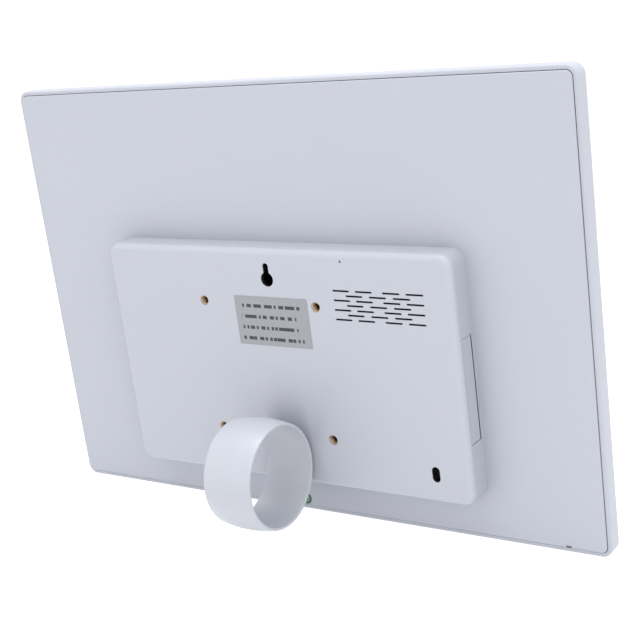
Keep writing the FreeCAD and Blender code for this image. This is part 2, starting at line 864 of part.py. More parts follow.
def make_display():
    clear = dims.stack_clearance
    steel = dims.module_steel
    inner_corner = dims.module_corner - steel
    body = new_body("lcd_bezel")
    add(body, BACK, module_front, tray_rear - module_front,
        rounded(0, frame_middle, module_width, module_height, dims.module_corner))
    cut(body, BACK, cell_front, tray_rear - cell_front,
        rounded(0, frame_middle, module_width - steel * 2, module_height - steel * 2, inner_corner))
    cut(body, BACK, module_front, steel,
        rectangle(0, frame_middle, display_width + dims.module_lip * 2,
                  display_height + dims.module_lip * 2))

    module_layer("lcd_cell", cell_front, dims.cell_thickness, Size.of(0))
    module_layer("film_stack", film_front, dims.film_thickness, dims.stack_clearance)

    body = new_body("lcd_chassis")
    add(body, BACK, cell_front, tray_front - cell_front,
        rounded(0, frame_middle, module_width - (steel + clear) * 2,
                module_height - (steel + clear) * 2, inner_corner))
    cut(body, BACK, cell_front, tray_front - cell_front,
        rectangle(0, frame_middle, cell_width + clear * 2, cell_height + clear * 2))

    led_low = frame_middle - cell_height / 2
    guide_low = led_low + dims.led_strip_height + clear
    guide_top = frame_middle + cell_height / 2
    block("led_strip",
          (-display_width / 2, guide_front, led_low),
          (display_width / 2, reflector_front, led_low + dims.led_strip_height))
    block("light_guide",
          (-cell_width / 2 + clear, guide_front, guide_low),
          (cell_width / 2 - clear, reflector_front, guide_top - clear))
    module_layer("reflector_sheet", reflector_front, dims.reflector_thickness,
                 dims.stack_clearance)

    body = new_body("backlight_tray")
    add(body, BACK, tray_front, steel,
        rounded(0, frame_middle, module_width - (steel + clear) * 2,
                module_height - (steel + clear) * 2, inner_corner))

    brackets = []
    for side in (-1, 1):
        middle = bracket_place * side
        plate = brick("bracket_plate",
                      (middle - dims.bracket_width / 2, tray_rear,
                       frame_middle - bracket_height / 2),
                      (middle + dims.bracket_width / 2, bracket_rear,
                       frame_middle + bracket_height / 2))
        for rise in frame_post_rises:
            hole = rod("bracket_hole", (frame_post_place * side, rise),
                       dims.small_screw_radius + dims.press_clearance,
                       tray_rear - dims.bracket_thickness, dims.bracket_thickness * 3)
            plate = subtract("bracket_drilled", plate, hole)
        brackets.append(plate)
    group("lcd_brackets", brackets)

    small_screws("lcd_screws", frame_post_places, bracket_rear,
                 bracket_rear - dims.bezel_thickness - dims.frame_post_floor - dims.small_screw_gap,
                 head_forward=False)


# Rear panel: flat plate with locating tabs, a cable window and a pry notch in its bottom edge.

def make_rear_panel():
    body = new_body("rear_panel")
    width = dims.frame_width - panel_inset * 2
    height = dims.frame_height - panel_inset * 2
    add(body, BACK, panel_front, dims.panel_thickness,
        rounded(0, frame_middle, width, height, dims.frame_corner - panel_inset))
    inset = dims.frame_wall + dims.ledge_width + dims.tab_clearance + dims.tab_thickness / 2
    tabs = []
    for side in (-1, 1):
        across = (dims.frame_width / 2 - inset) * side
        for step in (-2, -1, 1, 2):
            rise = dims.frame_height * dims.side_tab_share * step
            tabs.append(rectangle(across, frame_middle + rise, dims.tab_thickness, dims.tab_width))
        up = frame_middle + (frame_middle - inset) * side
        for step in (-2, -1, 0, 1, 2):
            tabs.append(rectangle(dims.frame_width * dims.end_tab_share * step, up, dims.tab_width,
                                  dims.tab_thickness))
    add(body, BACK, panel_front - dims.tab_depth, dims.tab_depth, *tabs)
    cut(body, BACK, panel_front, dims.panel_thickness,
        rounded(-dims.cable_window_place, housing_middle, dims.cable_window, dims.cable_window,
                dims.cable_window_corner),
        *(circle(across, up, dims.small_screw_radius + dims.hole_clearance)
          for across, up in housing_screw_places))
    cut(body, BACK, panel_front, dims.panel_thickness,
        rectangle(-notch_place, panel_inset, dims.notch_width, dims.notch_height * 2))

    def outline(edge):
        middle = edge.CenterOfMass
        near = (dims.frame_corner - panel_inset).number
        wide = abs(middle.x) > width.number / 2 - near
        tall = abs(middle.z - frame_middle.number) > height.number / 2 - near
        notched = abs(middle.x + notch_place.number) < dims.notch_width.number
        return in_plane(edge, "y", panel_rear.number) and (wide or tall) and not notched

    round_off(body, dims.panel_round, outline)


# Rear housing: raised shell with bosses inside and all of its openings.

def make_rear_housing():
    body = new_body("rear_housing")
    add(body, BACK, panel_rear, dims.housing_depth,
        rounded(0, housing_middle, dims.housing_width, dims.housing_height, dims.housing_corner))
    round_off(body, dims.housing_round, lambda edge: in_plane(edge, "y", face.number))
    wall = dims.housing_wall
    cut(body, BACK, panel_rear, dims.housing_depth - wall,
        rounded(0, housing_middle, dims.housing_width - wall * 2, dims.housing_height - wall * 2,
                dims.housing_corner - wall))

    add(body, BACK, face_inner - dims.insert_boss_length, dims.insert_boss_length,
        *(circle(across, up, dims.insert_boss_radius) for across, up in insert_places))
    boss_front = stand_insert_front - dims.stand_boss_floor
    add(body, BACK, boss_front, face_inner - boss_front,
        circle(*stand_place, dims.stand_boss_radius))
    add(body, BACK, panel_rear, face_inner - panel_rear,
        *(circle(across, up, dims.post_radius) for across, up in housing_screw_places))
    add(body, BACK, board_rear, face_inner - board_rear,
        *(circle(across, up, dims.support_radius) for across, up in board_screw_places),
        circle(*power_screw_place, dims.support_radius))
    rail_front = panel_rear + dims.key_board_lift
    for rise in (key_rises[0] - key_pitch / 2, key_rises[-1] + key_pitch / 2):
        add(body, BACK, rail_front, face_inner - rail_front,
            rectangle(key_board_rear - dims.key_rail_width / 2, rise, dims.key_rail_width,
                      dims.key_rail_height))

    bore = dims.insert_radius + dims.press_clearance
    cut(body, BACK, face - dims.insert_sunk - dims.insert_length, dims.insert_length + wall,
        *(circle(across, up, bore) for across, up in insert_places))
    cut(body, BACK, stand_insert_front, dims.stand_insert_length + wall,
        circle(*stand_place, dims.stand_insert_radius + dims.press_clearance))
    thread = dims.small_screw_radius + dims.press_clearance
    cut(body, BACK, panel_rear, dims.small_screw_length,
        *(circle(across, up, thread) for across, up in housing_screw_places))
    cut(body, BACK, board_rear, dims.small_screw_length,
        *(circle(across, up, thread) for across, up in board_screw_places),
        circle(*power_screw_place, thread))

    cut(body, BACK, face_inner, wall, circle(0, keyhole_up, dims.keyhole_radius))
    cut(body, BACK, face_inner, wall,
        slot(0, keyhole_slot_up, dims.keyhole_slot, dims.keyhole_rise))
    cut(body, BACK, face_inner, wall,
        slot(-lock_across, dims.lock_up, dims.lock_width, dims.lock_height),
        circle(-dims.pinhole_across, pinhole_up, dims.pinhole_radius))
    cut_grille(body, wall)

    cut(body, SIDE, -side_wall, wall,
        between(door_front, door_low, door_rear, door_top))
    cut(body, SIDE, side_inner, wall,
        *(rounded(key_place, rise, dims.key_depth + dims.key_clearance * 2,
                  dims.key_height + dims.key_clearance * 2, dims.key_corner + dims.key_clearance)
          for rise in key_rises),
        circle(board_rear + dims.inlet_height / 2, inlet_up, dims.inlet_opening),
        circle(board_rear + dims.earphone_height / 2, earphone_up,
               dims.earphone_nose + dims.socket_gap))
    pin_reach = dims.hinge_pin_reach + dims.hinge_clearance
    cut(body, BACK, door_front - pin_reach, dims.door_depth + pin_reach * 2,
        circle(hinge_across, hinge_up, dims.hinge_pin_radius + dims.hinge_clearance))


def cut_grille(body, wall):
    """Seven rows of sound slots: long rows of four with short rows of three between them."""
    low = grille_up - dims.row_pitch * 3
    for up, count, places in (
            (low, 4, (-dims.dash_outer, -dims.dash_inner, dims.dash_inner, dims.dash_outer)),
            (low + dims.row_pitch, 3, (-dims.dash_side, Size.of(0), dims.dash_side))):
        dashes = [slot(-grille_across + place, up, dims.dash_length, dims.dash_height)
                  for place in places]
        pocket = cut(body, BACK, face_inner, wall, *dashes)
        row_pattern(body, pocket, pocket.Profile[0], dims.row_pitch * 2, count)


def make_fixings():
    """Threaded inserts, hanging plate and the screws that hold the housing and the boards."""
    members = []
    start = face - dims.insert_sunk - dims.insert_length
    for across, up in insert_places:
        sleeve = rod("insert_sleeve", (across, up), dims.insert_radius, start, dims.insert_length)
        bore = rod("insert_thread", (across, up), dims.insert_bore, start - dims.insert_length,
                   dims.insert_length * 3)
        members.append(subtract("insert", sleeve, bore))
    group("threaded_inserts", members)

    body = new_body("hanging_plate")
    clear = dims.hanging_plate_clearance
    plate_front = face_inner - dims.hanging_plate_thickness
    plate_middle = keyhole_slot_up - dims.hanging_plate_drop
    add(body, BACK, plate_front, dims.hanging_plate_thickness,
        rectangle(0, plate_middle, dims.hanging_plate_width, dims.hanging_plate_height))
    cut(body, BACK, plate_front, dims.hanging_plate_thickness,
        circle(0, keyhole_up, dims.keyhole_radius + clear))
    cut(body, BACK, plate_front, dims.hanging_plate_thickness,
        slot(0, keyhole_slot_up, dims.keyhole_slot + clear * 2, dims.keyhole_rise + clear * 2))

    small_screws("housing_screws", housing_screw_places, panel_front, dims.small_screw_length)
    small_screws("board_screws", board_screw_places + [power_screw_place], board_front,
                 dims.small_screw_length - dims.small_screw_gap)


# Ring stand: a thin crowned band, with a flanged stud set into the boss on its outside.

def make_ring():
    body = new_body("stand_ring")
    sketch = new_sketch(body, LEVEL, dims.ring_up, ())
    sketch.setExpression(".AttachmentOffset.Base.x", dims.stand_across.text)
    sketch.setExpression(".AttachmentOffset.Base.y", ring_axis.text)
    draw_ring_section(sketch)
    turned = body.newObject("PartDesign::Revolution", "Revolution")
    turned.Profile = sketch
    turned.ReferenceAxis = (sketch, ["H_Axis"])
    turned.Angle = 360
    doc.recompute()
    ends = [(dims.stand_across + dims.ring_width / 2 * side).number for side in (-1, 1)]
    round_off(body, dims.ring_edge_round, lambda edge: any(in_plane(edge, "x", end) for end in ends))
    add(body, BACK, ring_seat, face + dims.ring_gap + dims.ring_boss_bite - ring_seat,
        circle(*stand_place, dims.ring_boss_radius))
    cut(body, BACK, ring_seat, dims.stud_flange_thickness,
        circle(*stand_place, dims.stud_flange_radius + dims.press_clearance))


def draw_ring_section(sketch):
    """Section of the band: two arcs about one centre, so the wall is even and crowned outwards."""
    half = dims.ring_width / 2
    edge_radius = dims.ring_radius - dims.ring_crown
    outer_arc = (half * half + dims.ring_crown * dims.ring_crown) / (dims.ring_crown * 2)
    inner_arc = outer_arc - dims.ring_wall
    centre_rise = dims.ring_radius - outer_arc
    centre = Vector(0, centre_rise.number, 0)

    def arc(radius):
        turn = math.asin(half.number / radius)
        return Part.ArcOfCircle(Part.Circle(centre, Vector(0, 0, 1), radius),
                                math.pi / 2 - turn, math.pi / 2 + turn)

    outer, inner = arc(outer_arc.number), arc(inner_arc.number)
    sketch.addGeometry([
        outer, Part.LineSegment(outer.EndPoint, inner.EndPoint),
        inner, Part.LineSegment(inner.StartPoint, outer.StartPoint),
    ], False)
    constraint = Sketcher.Constraint
    sketch.addConstraint([
        constraint("Coincident", 0, 2, 1, 1), constraint("Coincident", 1, 2, 2, 2),
        constraint("Coincident", 2, 1, 3, 1), constraint("Coincident", 3, 2, 0, 1),
        constraint("Vertical", 1), constraint("Vertical", 3), constraint("Coincident", 0, 3, 2, 3),
    ])
    dimension(sketch, inner_arc, "Radius", 2)
    locate(sketch, 0, 3, "DistanceY", centre_rise)
    for point, across in ((1, half), (2, -half)):
        locate(sketch, 0, point, "DistanceX", across)
        locate(sketch, 0, point, "DistanceY", edge_radius)


def make_stand_fixings():
    body = new_body("stand_stud")
    stud_front = stand_insert_front + dims.stud_end_gap
    add(body, BACK, stud_front, ring_seat - stud_front, circle(*stand_place, dims.stud_radius))
    add(body, BACK, ring_seat, dims.stud_flange_thickness,
        circle(*stand_place, dims.stud_flange_radius))

    body = new_body("stand_washer")
    add(body, BACK, face, dims.washer_thickness, circle(*stand_place, dims.ring_boss_radius),
        circle(*stand_place, dims.stud_radius + dims.hole_clearance))

    body = new_body("stand_insert")
    add(body, BACK, stand_insert_front, dims.stand_insert_length,
        circle(*stand_place, dims.stand_insert_radius),
        circle(*stand_place, dims.stud_radius + dims.stud_clearance))


# Side door, its hinge pin, and the sockets behind it.

def make_side_door():
    body = new_body("side_door")
    gap = dims.door_gap
    front, rear = door_front + dims.door_front_gap, door_rear - gap
    half = dims.door_thickness / 2
    add(body, BACK, front, rear - front,
        between(door_outer, door_low + gap, door_outer + dims.door_thickness, hinge_up))
    add(body, BACK, front, rear - front, circle(hinge_across, hinge_up, half))
    cut(body, BACK, front, rear - front,
        circle(hinge_across, hinge_up, dims.hinge_pin_radius + dims.hinge_clearance))

    body = new_body("door_pin")
    add(body, BACK, door_front - dims.hinge_pin_reach, dims.door_depth + dims.hinge_pin_reach * 2,
        circle(hinge_across, hinge_up, dims.hinge_pin_radius))


socket_face = -side_wall + dims.port_plate_sunk
SOCKETS = {name: [getattr(dims, f"{name}_{size}") for size in ("rise", "width", "height", "length")]
           for name in SOCKET_NAMES}


def make_sockets():
    thickness, clear, shell = dims.port_plate_thickness, dims.port_clearance, dims.socket_shell
    body = new_body("port_plate")
    add(body, SIDE, socket_face, thickness,
        between(panel_rear + dims.port_plate_lift, door_low - dims.port_plate_low, face_inner,
                hinge_up - dims.hinge_pin_radius))
    slots = []
    for rise, width, height, _ in SOCKETS.values():
        low = door_low + rise - width / 2
        slots.append(between(board_rear - clear, low - clear,
                             board_rear + height + clear, low + width + clear))
    cut(body, SIDE, socket_face, thickness, *slots)
    for name, (rise, width, height, length) in SOCKETS.items():
        up = door_low + rise
        low, top = up - width / 2, up + width / 2
        body = new_body(name)
        add(body, SIDE, socket_face, length, between(board_rear, low, board_rear + height, top))
        cut(body, SIDE, socket_face, length - dims.socket_back,
            between(board_rear + shell, low + shell, board_rear + height - shell, top - shell))
        if name != "card_socket":
            half = dims.tongue_width_share * width
            middle = board_rear + height / 2
            thick = dims.tongue_share * height
            add(body, SIDE, socket_face + dims.socket_back, length - dims.socket_back,
                between(middle - thick, up - half, middle + thick, up + half))


# Main board and what is mounted on it.

def make_main_board():
    body = new_body("main_board")
    add(body, BACK, board_front, dims.board_thickness,
        between(-board_left, board_low, -dims.board_right, board_top))
    cut(body, BACK, board_front, dims.board_thickness,
        *(circle(across, up, dims.small_screw_radius + dims.screw_hole_clearance)
          for across, up in board_screw_places))

    chip_place = (-dims.chip_across, board_low + dims.chip_rise)
    chip_rear = board_rear + dims.chip_height
    body = new_body("main_chip")
    add(body, BACK, board_rear, dims.chip_height, rectangle(*chip_place, dims.chip_size, dims.chip_size))

    body = new_body("heat_sink")
    add(body, BACK, chip_rear, dims.heat_sink_base,
        rectangle(*chip_place, dims.chip_size, dims.chip_size))
    pitch = dims.chip_size / FIN_COUNT
    add(body, BACK, chip_rear + dims.heat_sink_base, dims.fin_height,
        *(rectangle(chip_place[0], chip_place[1] + pitch * (index - (FIN_COUNT - 1) / 2),
                    dims.chip_size, dims.fin_thickness)
          for index in range(FIN_COUNT)))

    memory_low = board_low + dims.memory_rise
    half = dims.memory_width / 2
    memory_places = [-dims.chip_across + dims.memory_spread * side for side in (-1, 1)]
    group("memory_chips", [
        brick("memory_chip", (across - half, board_rear, memory_low),
              (across + half, board_rear + dims.memory_height, memory_low + dims.memory_length))
        for across in memory_places])
    group("capacitors", [
        rod("capacitor",
            (-dims.capacitor_across + dims.capacitor_pitch * (step - 0.5),
             board_low + dims.capacitor_rise + dims.capacitor_pitch * row),
            dims.capacitor_radius, board_rear, dims.capacitor_height)
        for step in (0, 1) for row in (0, 1)])
    half = dims.connector_depth / 2
    plugs = (
        (dims.speaker_plug_across, board_top - dims.speaker_plug_drop, dims.speaker_plug_width),
        (dims.backlight_plug_across, board_low + dims.backlight_plug_rise, dims.backlight_plug_width),
        (dims.display_plug_across, board_low + dims.display_plug_rise, dims.display_plug_width),
    )
    group("board_connectors", [
        brick("connector", (-across - width / 2, board_rear, up - half),
              (-across + width / 2, board_rear + dims.connector_height, up + half))
        for across, up, width in plugs])

    cell_place = (-dims.cell_across, board_top - dims.cell_drop)
    floor = dims.cell_holder_floor
    body = new_body("cell_holder")
    add(body, BACK, board_rear, dims.cell_holder_height,
        rectangle(*cell_place, dims.cell_holder_size, dims.cell_holder_size))
    cut(body, BACK, board_rear + floor, dims.cell_holder_height - floor,
        circle(*cell_place, dims.clock_cell_radius + dims.clock_cell_clearance))
    body = new_body("clock_cell")
    add(body, BACK, board_rear + floor, dims.clock_cell_height,
        circle(*cell_place, dims.clock_cell_radius))


# Key board, its switches, and one body for each key.

def make_keys():
    block("key_board",
          (key_board_rear, panel_rear + dims.key_board_lift, key_rises[0] - dims.key_board_margin),
          (key_board_front, face_inner, key_rises[-1] + dims.key_board_margin))
    switches = []
    for rise in key_rises:
        base = brick("switch_base",
                     (key_board_front, key_place - dims.switch_width / 2,
                      rise - dims.switch_width / 2),
                     (stem_start, key_place + dims.switch_width / 2,
                      rise + dims.switch_width / 2))
        stem = rod("switch_stem", (key_place, rise), dims.switch_stem_radius, stem_start,
                   dims.switch_stem_length, "x")
        switches.append(fuse("switch", base, stem))
    group("key_switches", switches)
    for name, rise in zip(KEY_NAMES, key_rises):
        body = new_body(name)
        add(body, SIDE, flange_inner, dims.key_flange_thickness,
            rounded(key_place, rise, dims.key_depth + dims.key_flange * 2,
                    dims.key_height + dims.key_flange * 2, dims.key_corner + dims.key_flange))
        add(body, SIDE, flange_outer, side_wall + dims.key_proud - flange_outer,
            rounded(key_place, rise, dims.key_depth, dims.key_height, dims.key_corner))
        outer_face = side_wall.number + dims.key_proud.number
        round_off(body, dims.key_round, lambda edge: in_plane(edge, "x", outer_face))


# Power board with the inlet and the earphone socket.

def make_power_board():
    body = block("power_board",
                 (power_board_left, board_front, power_board_low),
                 (side_inner - dims.power_board_gap, board_rear, power_board_top))
    cut(body, BACK, board_front, dims.board_thickness,
        circle(*power_screw_place, dims.small_screw_radius + dims.screw_hole_clearance))

    socket_end = side_inner - dims.socket_gap
    middle = board_rear + dims.inlet_height / 2
    start = socket_end - dims.inlet_length
    body = new_body("dc_inlet")
    add(body, SIDE, start, dims.inlet_length,
        rectangle(middle, inlet_up, dims.inlet_height, dims.inlet_width))
    cut(body, SIDE, start + dims.inlet_floor, dims.inlet_length - dims.inlet_floor,
        circle(middle, inlet_up, dims.inlet_bore))
    pin_start = start + dims.inlet_floor / 2
    add(body, SIDE, pin_start, dims.inlet_length - dims.inlet_floor,
        circle(middle, inlet_up, dims.inlet_pin_radius))

    middle = board_rear + dims.earphone_height / 2
    start = socket_end - dims.earphone_length
    body = new_body("earphone_socket")
    add(body, SIDE, start, dims.earphone_length,
        rectangle(middle, earphone_up, dims.earphone_height, dims.earphone_width))
    add(body, SIDE, socket_end, dims.housing_wall,
        circle(middle, earphone_up, dims.earphone_nose))
    cut(body, SIDE, start + dims.socket_floor,
        dims.earphone_length - dims.socket_floor + dims.housing_wall,
        circle(middle, earphone_up, dims.earphone_bore))


# Two speakers end to end behind the sound slots, with a foam gasket that keeps them apart.

def make_speakers():
    gasket_front = face_inner - dims.gasket_thickness
    cone_front = speaker_front + dims.speaker_back
    width, height, wall = dims.speaker_width, dims.speaker_height, dims.speaker_wall

    body = new_body("speaker_gasket")
    spread = dims.speaker_width * 2 + dims.speaker_gap
    add(body, BACK, gasket_front, dims.gasket_thickness,
        rounded(-grille_across, grille_up, spread, height, dims.gasket_corner))
    cut(body, BACK, gasket_front, dims.gasket_thickness,
        *(slot(-grille_across + speaker_step * side, grille_up, width - wall * 2,
               height - wall * 2) for side in (-1, 1)))

    for name, side in (("outer", -1), ("inner", 1)):
        place = (-grille_across + speaker_step * side, grille_up)
        body = new_body(f"{name}_speaker_frame")
        add(body, BACK, speaker_front, dims.speaker_depth, slot(*place, width, height))
        cut(body, BACK, cone_front, dims.speaker_depth - dims.speaker_back,
            slot(*place, width - wall * 2, height - wall * 2))
        body = new_body(f"{name}_speaker_cone")
        for start, depth, inset in (
                (cone_front, dims.cone_depth, wall + dims.cone_clearance),
                (cone_front + dims.cone_depth, dims.cone_cap_depth, wall + dims.cone_cap_inset)):
            add(body, BACK, start, depth, slot(*place, width - inset * 2, height - inset * 2))


# Flat cables

def ribbon(label, across, width):
    """Flat cable in the y-z plane, bent like a flat S from the main board to the backlight tray."""
    thick = dims.ribbon_thickness
    upper_low, upper_high = board_top - dims.ribbon_bend_drop, board_top - dims.ribbon_top_drop
    lower_low, lower_high = board_low + dims.ribbon_low_rise, board_low + dims.ribbon_bend_rise
    body = new_body(label)
    add(body, SIDE, -across - width / 2, width,
        polygon((tray_rear, lower_low), (tray_rear + thick, lower_low),
                (tray_rear + thick, lower_high), (board_front, upper_low),
                (board_front, upper_high), (board_front - thick, upper_high),
                (board_front - thick, upper_low + thick / 2),
                (tray_rear, lower_high + thick / 2)))


def make_cables():
    thick = dims.ribbon_thickness
    ribbon("display_ribbon", dims.display_ribbon_place, dims.display_ribbon_width)
    ribbon("backlight_lead", dims.backlight_lead_place, dims.backlight_lead_width)
    leads = []
    for side in (-1, 1):
        middle = -grille_across + speaker_step * side
        left, right = middle - dims.lead_width / 2, middle + dims.lead_width / 2
        bend = grille_up - dims.speaker_height / 4
        flat = brick("lead_flat", (left, board_rear, board_top - dims.lead_drop),
                     (right, board_rear + thick, bend))
        rise = brick("lead_rise", (left, board_rear, bend - thick), (right, speaker_front, bend))
        leads.append(fuse("speaker_lead", flat, rise))
    group("speaker_leads", leads)
    key_ribbon_low = board_top - dims.key_ribbon_drop
    block("key_ribbon", (-dims.board_right - dims.key_ribbon_inset, board_rear, key_ribbon_low),
          (key_board_rear, board_rear + thick, key_ribbon_low + dims.key_ribbon_width))
    power_ribbon_top = power_board_top - dims.power_ribbon_drop
    block("power_ribbon",
          (-dims.board_right - dims.power_ribbon_inset, board_front - thick,
           power_ribbon_top - dims.power_ribbon_width),
          (power_board_left + dims.power_ribbon_overlap, board_front, power_ribbon_top))


# Label on the housing and the sticker on the rear panel.

def make_labels():
    body = new_body("rating_label")
    add(body, BACK, face, dims.label_thickness,
        rounded(0, label_up, dims.label_width, dims.label_height, dims.label_corner))
    body = new_body("check_sticker")
    add(body, BACK, panel_rear, dims.label_thickness,
        slot(dims.sticker_across, dims.sticker_up, dims.sticker_width, dims.sticker_height))


def lean_placement():
    """Placement that leans the frame back and stands it on z = 0, centred on its footprint.

    The bottom rear edge of the frame and the crown of the ring are two circles in the y-z plane.
    The lean is the angle at which both touch one level line.
    """
    edge_radius = dims.rim_round.number
    edge_y = frame_depth.number - edge_radius
    rise = dims.ring_up.number - edge_radius
    reach = ring_axis.number - edge_y
    drop = dims.ring_radius.number - edge_radius
    lean = math.acos(drop / math.hypot(rise, reach)) - math.atan2(reach, rise)
    turn = FreeCAD.Rotation(Vector(1, 0, 0), -math.degrees(lean))
    floor = edge_radius - turn.multVec(Vector(0, edge_y, edge_radius)).z
    leaned = FreeCAD.Placement(Vector(0, 0, floor), turn)
    boxes = FreeCAD.BoundBox()
    for piece in pieces:
        shape = piece.Shape.copy()
        shape.Placement = leaned * shape.Placement
        boxes.add(shape.optimalBoundingBox(False, False))
    shift = Vector(-(boxes.XMin + boxes.XMax) / 2, -(boxes.YMin + boxes.YMax) / 2, floor)
    print(f"lean {math.degrees(lean):.4f} degrees, lowest {boxes.ZMin:.5f}")
    print(f"shift {shift.x:.5f} {shift.y:.5f} {shift.z:.5f}")
    print(f"size {boxes.XLength:.3f} {boxes.YLength:.3f} {boxes.ZLength:.3f}")
    return FreeCAD.Placement(shift, turn)


def check_pieces():
    for item in doc.Objects:
        if "Invalid" in item.State or "Error" in item.State:
            raise RuntimeError(f"{item.Name} ({item.Label}) failed: {item.State}")
    for piece in pieces:
        if piece.Shape.isNull() or not piece.Shape.isValid() or piece.Shape.Volume < TINY:
            raise RuntimeError(f"{piece.Label} has no sound shape")


def export_pieces():
    os.makedirs("parts", exist_ok=True)
    for piece in pieces:
        piece.Shape.exportStep(os.path.join("parts", piece.Label + ".step"))


make_front_frame()
make_display()
make_rear_panel()
make_rear_housing()
make_fixings()
make_ring()
make_stand_fixings()
make_side_door()
make_sockets()
make_main_board()
make_keys()
make_power_board()
make_speakers()
make_cables()
make_labels()
doc.recompute()
check_pieces()
standing = lean_placement()
for piece in pieces:
    piece.Placement = standing * piece.Placement
doc.recompute()
check_pieces()
export_pieces()
print(f"{len(pieces)} pieces")
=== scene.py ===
"""Digital photo frame seen from behind, leaning back on its ring stand.

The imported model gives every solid. This script gives each one its finish, adds the fine pieces that
are surfaces of their own, and sets the floor, the light and the camera. Lengths are in metres.
"""
import json
import math

import bpy
import numpy as np
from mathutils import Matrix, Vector


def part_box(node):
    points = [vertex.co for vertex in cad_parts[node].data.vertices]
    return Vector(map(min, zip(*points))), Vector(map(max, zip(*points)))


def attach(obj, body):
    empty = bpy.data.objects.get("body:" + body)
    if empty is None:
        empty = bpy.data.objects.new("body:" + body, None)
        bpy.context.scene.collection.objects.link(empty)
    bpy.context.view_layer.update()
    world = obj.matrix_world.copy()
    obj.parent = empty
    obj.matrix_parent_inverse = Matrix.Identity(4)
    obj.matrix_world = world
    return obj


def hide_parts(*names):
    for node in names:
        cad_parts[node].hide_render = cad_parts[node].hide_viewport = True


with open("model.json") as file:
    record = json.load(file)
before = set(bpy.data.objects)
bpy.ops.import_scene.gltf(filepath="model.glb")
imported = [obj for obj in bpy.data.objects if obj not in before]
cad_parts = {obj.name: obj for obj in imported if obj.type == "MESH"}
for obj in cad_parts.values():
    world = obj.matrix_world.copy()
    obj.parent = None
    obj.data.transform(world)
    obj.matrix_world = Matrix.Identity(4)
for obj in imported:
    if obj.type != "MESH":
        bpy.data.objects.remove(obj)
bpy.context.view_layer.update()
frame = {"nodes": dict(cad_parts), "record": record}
nodes = frame["nodes"]
record = frame["record"]

MM = 0.001
# directions of the leaning case: out of its back, across it, and along its height
ring_turn = next(joint for joint in record["behaviour"]["joints"] if joint["name"] == "ring_turn")
CASE_BACK = Vector(ring_turn["axis"])
CASE_SIDE = Vector((1.0, 0.0, 0.0))
CASE_UP = CASE_SIDE.cross(CASE_BACK)
LEAN = math.asin(-CASE_BACK.z)
# middle of the keyhole's round part, on the outer face of the housing
housing_face = next(mount["pos_m"] for mount in record["mounts"] if mount["name"] == "keyhole")
# reach of the openings in the housing's back from there, within which their walls are painted
# into shade: to each side, then along the height
OPENINGS_SIDE = 100.0 * MM
OPENINGS_MIDDLE = 48.0 * MM
OPENINGS_HALF_HEIGHT = 58.0 * MM
# gaps round the side door, which bound the painted shade in its gap: in front of it, at its foot,
# and how far up its back edge the foot's goes
DOOR_FRONT_GAP = 1.15 * MM
DOOR_FOOT_GAP = 0.5 * MM
DOOR_BACK_INSET = 2.5 * MM
DOOR_WALL = 4.0 * MM
GAP_SHADE_EDGE = 0.05 * MM
# display's dark mask at each side, and half the height of its active area
DISPLAY_MASK = 3.4 * MM
ACTIVE_HALF_HEIGHT = 94.5 * MM


def case_span(node):
    """Lowest and highest side, back and up distances of a node, from the middle of the keyhole."""
    mesh = nodes[node].data
    flat = np.empty(3 * len(mesh.vertices))
    mesh.vertices.foreach_get("co", flat)
    along = (flat.reshape(-1, 3) - np.array(housing_face)) @ np.array([CASE_SIDE, CASE_BACK, CASE_UP]).T
    return along.min(axis=0).tolist(), along.max(axis=0).tolist()


door_low, door_high = case_span("side_door")


# Shader values

